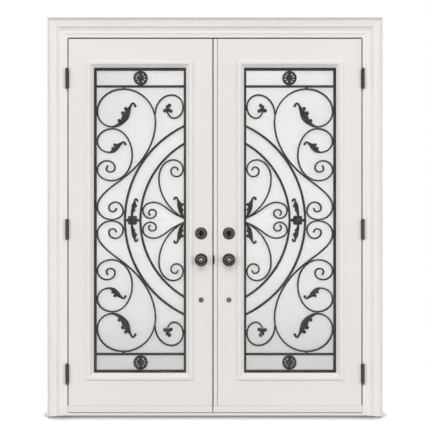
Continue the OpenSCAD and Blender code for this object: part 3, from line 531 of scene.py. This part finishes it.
def dome(bm, put, centre, r, height, steps=16):
    rings = [[bm.verts.new(put(Vector(centre) + way * r * k, height * h)) for way in circle(steps)]
             for k, h in DOME]
    top = bm.verts.new(put(Vector(centre), height))
    for low, high in zip(rings, rings[1:]):
        bridge(bm, low, high, smooth=steps)
    for i in range(steps):
        bm.faces.new([rings[-1][i], rings[-1][(i + 1) % steps], top]).smooth = True
    bm.faces.new(list(reversed(rings[0])))


def bead_ring(bm, put, centre, inner, outer, height):
    rows = [[bm.verts.new(put(Vector(centre) + way * (inner + (outer - inner) * k), height * h))
             for k, h in ROUND] for way in circle(RING_STEPS)]
    for low, high in zip(rows, rows[1:] + rows[:1]):
        bridge(bm, low, high, smooth=len(ROUND) - 1)


def petals(bm, put, centre, count, near, far, half, height):
    for way in circle(count):
        path = [Vector(centre) + way * (near + (far - near) * i / PATH_STEPS) for i in range(PATH_STEPS + 1)]
        rib(bm, put, path, half, height)


def grille_relief(lead, side):
    bm = bmesh.new()
    for face in (-1, 1):
        for flip in (-1, 1):
            put = placer(lead, side, face, flip)
            for leaf in IRON_LEAVES:
                rib(bm, put, smooth_path(leaf), RIB_HALF, RELIEF)
            for x, z, r in LOBES:
                dome(bm, put, (x, z), LOBE_SHARE * r, 0.8 * RELIEF)
            bead_ring(bm, put, ROSETTE, inner=29.5, outer=36.5, height=RELIEF)
            dome(bm, put, ROSETTE, r=11.0, height=RELIEF, steps=24)
            petals(bm, put, ROSETTE, count=10, near=11.5, far=30.0, half=2.4, height=0.75 * RELIEF)
            if flip > 0:
                dome(bm, put, HUB, r=9.0, height=RELIEF, steps=20)
                petals(bm, put, HUB, count=8, near=9.0, far=22.0, half=4.2, height=0.8 * RELIEF)
    piece(lead + "_iron_relief", bm, iron_mat, lead + "_leaf")


for lead, side in SIDES.items():
    grille_relief(lead, side)


# Hinge, lock and strike screws, in millimetres

HINGE_SCREWS = ((10, -38), (24, -17), (10, 17), (24, 38))
HINGE_SCREW_R = 4.2
LOCK_SCREWS = (-21, 21)
LOCK_SCREW_R = 3.4
STRIKE_SHIFT = 3.0
# The head as (share of the radius, height over the plate)
SCREW_HEAD = ((0, -0.4), (1, -0.4), (1, 0.25), (0.86, 0.6), (0.5, 0.75), (0.46, 0.2), (0, 0))
SCREW_STEPS = 20


def screw(bm, at, way, r):
    """A flat-head screw with a round recess, in a plate that faces along X, 1 or -1."""
    turn = Vector((way, 0, 0)).to_track_quat("Z", "Y").to_matrix().to_4x4()
    profile = [(share * r * MM, height * MM) for share, height in SCREW_HEAD]
    lathe(bm, profile, SCREW_STEPS, Matrix.Translation(Vector(at) * MM) @ turn)


frame_screws = bmesh.new()
leaf_screws = {lead: bmesh.new() for lead in SIDES}
for lead, side in SIDES.items():
    for z in HINGE_ZS:
        for y, dz in HINGE_SCREWS:
            screw(frame_screws, (side * JAMB_X, y, z + dz), -side, HINGE_SCREW_R)
            screw(leaf_screws[lead], (side * LEAF_X, y, z + dz), side, HINGE_SCREW_R)
for axis in (KNOB_AXIS, TURN_AXIS):
    for dz in LOCK_SCREWS:
        for lead, y in (("active", LEAF_T / 2), ("inactive", LEAF_T / 2 - STRIKE_SHIFT)):
            screw(leaf_screws[lead], (LOCK_EDGES[lead], y, axis.z + dz), -SIDES[lead], LOCK_SCREW_R)
piece("hinge_screws_frame", frame_screws, bronze_mat, "frame")
for lead in SIDES:
    piece("edge_screws_" + lead, leaf_screws[lead], bronze_mat, lead + "_leaf")


# Rubber fins under the leaves, in millimetres

FIN_PLACES = (6.0, 14.0, 22.0, 37.5)
FIN_SECTION = ((-1.6, 0.3), (-0.7, 0.3), (0.2, -3.2), (-0.7, -3.2), (-1.6, -1.4))

for lead, side in SIDES.items():
    fins = bmesh.new()
    for y in FIN_PLACES:
        rod(fins, [[fins.verts.new(Vector((x, y + dy, LEAF_Z + dz)) * MM) for dy, dz in FIN_SECTION]
                   for x in (side * LEAF_X, LOCK_EDGES[lead])])
    piece("sweep_fins_" + lead, fins, rubber_mat, lead + "_leaf")


# Black seals on the astragal and round the frame, in millimetres; near the room face their black darkens the
# gaps as painted shade

SEAL_STEP = 7.0
SEAL_CLEAR = 0.3
BRUSH_BACK = 1.0
TUFT_STAGGER = 0.12
TUFT_WAVE = 0.06
TUFT_LEAN = 0.5
HINGE_HALF = 52.0
LATCH_LIP = 31.0
# A half-round black bead over the astragal's front corner, as (out, depth) corners; it darkens the meeting
# line as painted shade
BEAD = ((-1.8, 0.3), (-1.6, -0.25), (-0.8, -0.45), (0.1, -0.3), (0.45, 0.4), (0.3, 1.4), (-0.6, 1.2))


def strip(bm, start, end, out, section):
    """A strip from start to end; section gives the (out, depth) corners of its i-th row."""
    count = max(2, round((end - start).length / SEAL_STEP))
    rows = []
    for i in range(count + 1):
        at = start.lerp(end, i / count)
        rows.append([bm.verts.new((at + out * k + Vector((0, y, 0))) * MM) for k, y in section(i)])
    rod(bm, rows)


def upright(bm, x, way, low, high, section):
    """A strip from low to high at x that reaches out along X, 1 or -1."""
    strip(bm, Vector((x, 0, low)), Vector((x, 0, high)), Vector((way, 0, 0)), section)


def brush(reach):
    """Tufts of slightly uneven length on a flat back."""
    def section(i):
        tip = reach - TUFT_STAGGER * (i % 2) - TUFT_WAVE * math.sin(2.3 * i)
        lean = TUFT_LEAN * math.sin(1.7 * i)
        return ((0, 4), (BRUSH_BACK, 4), (BRUSH_BACK, 5.2), (tip, 6.2 + lean), (tip, 8.0 + lean),
                (BRUSH_BACK, 8.8), (BRUSH_BACK, 10), (0, 10))
    return section


def steady(corners_along):
    """A section that is the same all along a strip."""
    return lambda i: corners_along


def gasket_gap_shade(gap):
    """A lip over the jamb's eased edge, and a bulb that nearly closes the gap, in black near the room face
    as painted shade for the gap.
    """
    reach = gap - SEAL_CLEAR
    return steady(((-1.4, 0.6), (0.4, 1.1), (2.2, 1.8), (0.8 * reach, 2.8), (reach, 4.2), (0.8 * reach, 5.6),
                   (0, 7), (-1.4, 4)))


astragal_x = LOCK_EDGES["inactive"]
meeting_gap = astragal_x - LOCK_EDGES["active"]
astragal_seals_gap_shade = bmesh.new()
upright(astragal_seals_gap_shade, astragal_x, -1, LEAF_Z, LEAF_TOP, brush(meeting_gap - SEAL_CLEAR))
for low, high in ((SWEEP_TOP, KNOB_AXIS.z - LATCH_LIP), (KNOB_AXIS.z + LATCH_LIP, LEAF_TOP)):
    upright(astragal_seals_gap_shade, astragal_x, -1, low, high, steady(BEAD))
piece("astragal_brush_gap_shade", astragal_seals_gap_shade, rubber_mat, "inactive_leaf")

frame_gasket_gap_shade = bmesh.new()
breaks = [LEAF_Z] + [z + dz for z in HINGE_ZS for dz in (-HINGE_HALF, HINGE_HALF)] + [LEAF_TOP]
for side in SIDES.values():
    for low, high in zip(breaks[::2], breaks[1::2]):
        upright(frame_gasket_gap_shade, side * JAMB_X, -side, low, high, gasket_gap_shade(JAMB_X - LEAF_X))
strip(frame_gasket_gap_shade, Vector((-LEAF_X, 0, HEAD_Z)), Vector((LEAF_X, 0, HEAD_Z)), Vector((0, 0, -1)),
      gasket_gap_shade(HEAD_GAP))
piece("frame_gasket_gap_shade", frame_gasket_gap_shade, rubber_mat, "frame")


# Floor and world, in metres

FLOOR_HALF = 9.0
FLOOR_CORNERS = ((-1, -1), (1, -1), (1, 1), (-1, 1))
FLOOR_DROP = 0.0005
FLOOR_GREY = (0.40, 0.40, 0.40, 1)
FLOOR_LIFT = 0.50
FLOOR_SQUEEZE = (0.42, 1, 1)
FLOOR_FADE = (0.45, 1.5)
CONTACT_REACH = 0.16
CONTACT_SHADES = ((0.55, 0.14), (0.68, 0.41), (0.80, 0.70), (0.90, 0.86), (0.97, 0.93), (1.0, 1.0))
AMBIENT = 0.40


def rays(tree, *kinds):
    """1 for light paths of any of the kinds."""
    path = tree.add("LightPath")
    total = path.outputs[f"Is {kinds[0]} Ray"]
    for kind in kinds[1:]:
        total = tree.combine("Math", (total, path.outputs[f"Is {kind} Ray"]), {"operation": "MAXIMUM"})
    return total


def floor_paint():
    """White with a contact shade where it is seen, and a plain grey for the light that it throws back."""
    tree = Tree(bpy.data.materials.new("floor_white"), clear=True)
    nearness = tree.add("AmbientOcclusion", {"samples": 24}, Distance=CONTACT_REACH).outputs["AO"]
    contact = tree.ramp(nearness, [(at, (grey, grey, grey)) for at, grey in CONTACT_SHADES])
    lit = tree.add("BsdfDiffuse", Color=contact).outputs[0]
    lift = tree.add("Emission", Color=contact, Strength=FLOOR_LIFT).outputs[0]
    near = tree.combine("AddShader", (lit, lift))
    far = tree.add("Emission", Color=WHITE, Strength=1.0).outputs[0]
    # Distance from the part's middle, counted less along the wall
    away = tree.length(tree.coordinates(FLOOR_SQUEEZE))
    fade = tree.remap(away, FLOOR_FADE, interpolation_type="SMOOTHSTEP")
    seen = tree.combine("MixShader", (fade, near, far))
    plain = tree.add("BsdfDiffuse", Color=FLOOR_GREY).outputs[0]
    shown = rays(tree, "Camera", "Glossy", "Transmission")
    tree.add("OutputMaterial", Surface=tree.combine("MixShader", (shown, plain, seen)))
    return tree.owner


def studio_world():
    """Even white light; reflections show a white backdrop behind the door and a dimmer room before it."""
    tree = Tree(bpy.data.worlds.new("studio"), clear=True)
    ambient = tree.add("Background", Color=WHITE, Strength=AMBIENT).outputs[0]
    heading = tree.along("Y", tree.add("TexCoord").outputs["Generated"])
    room = tree.remap(heading, (-0.75, 0.35), (0.12, 1.0))
    mirrored = tree.add("Background", Color=WHITE, Strength=room).outputs[0]
    backdrop = tree.add("Background", Color=WHITE, Strength=1.0).outputs[0]
    lit = tree.combine("MixShader", (rays(tree, "Glossy"), ambient, mirrored))
    shown = tree.combine("MixShader", (rays(tree, "Camera", "Transmission"), lit, backdrop))
    tree.add("OutputWorld", Surface=shown)
    return tree.owner


floor_mesh = bpy.data.meshes.new("floor")
floor_mesh.from_pydata([(x * FLOOR_HALF, y * FLOOR_HALF, 0) for x, y in FLOOR_CORNERS], [], [(0, 1, 2, 3)])
floor_mesh.materials.append(floor_paint())
floor = bpy.data.objects.new("floor", floor_mesh)
floor.location.z = -FLOOR_DROP
bpy.context.scene.collection.objects.link(floor)
bpy.context.scene.world = studio_world()


# Lights and camera, in metres

def softbox(name, at, aim, size, watts):
    data = bpy.data.lights.new(name, "AREA")
    data.shape = "RECTANGLE"
    data.size, data.size_y = size
    data.energy = watts
    lamp = bpy.data.objects.new(name, data)
    lamp.location = at
    lamp.rotation_euler = (Vector(aim) - Vector(at)).to_track_quat("-Z", "Y").to_euler()
    bpy.context.scene.collection.objects.link(lamp)


softbox("key", at=(-2.0, -40.0, 32.0), aim=(0, 0, 1.0), size=(36.0, 24.0), watts=11600)
softbox("fill_left", at=(-6.0, -5.5, 1.4), aim=(0, 0, 0.9), size=(4.0, 3.6), watts=172)
softbox("fill_right", at=(6.2, -5.5, 1.4), aim=(0, 0, 0.9), size=(4.0, 3.6), watts=194)
softbox("behind", at=(0.5, 4.5, 4.5), aim=(0, 0, 1.0), size=(4.0, 2.5), watts=90)

CAMERA_AWAY = 3.6
CAMERA_HEIGHT = 1.078
FIELD = 2.312
SENSOR = 36.0
FARTHEST = 60.0
cam_data = bpy.data.cameras.new("camera")
cam_data.sensor_width = SENSOR
cam_data.lens = SENSOR * CAMERA_AWAY / FIELD
cam_data.clip_end = FARTHEST
camera = bpy.data.objects.new("camera", cam_data)
camera.location = (0, -CAMERA_AWAY, CAMERA_HEIGHT)
camera.rotation_euler = (math.pi / 2, 0, 0)
bpy.context.scene.collection.objects.link(camera)
bpy.context.scene.camera = camera
bpy.context.scene.view_settings.view_transform = "Standard"
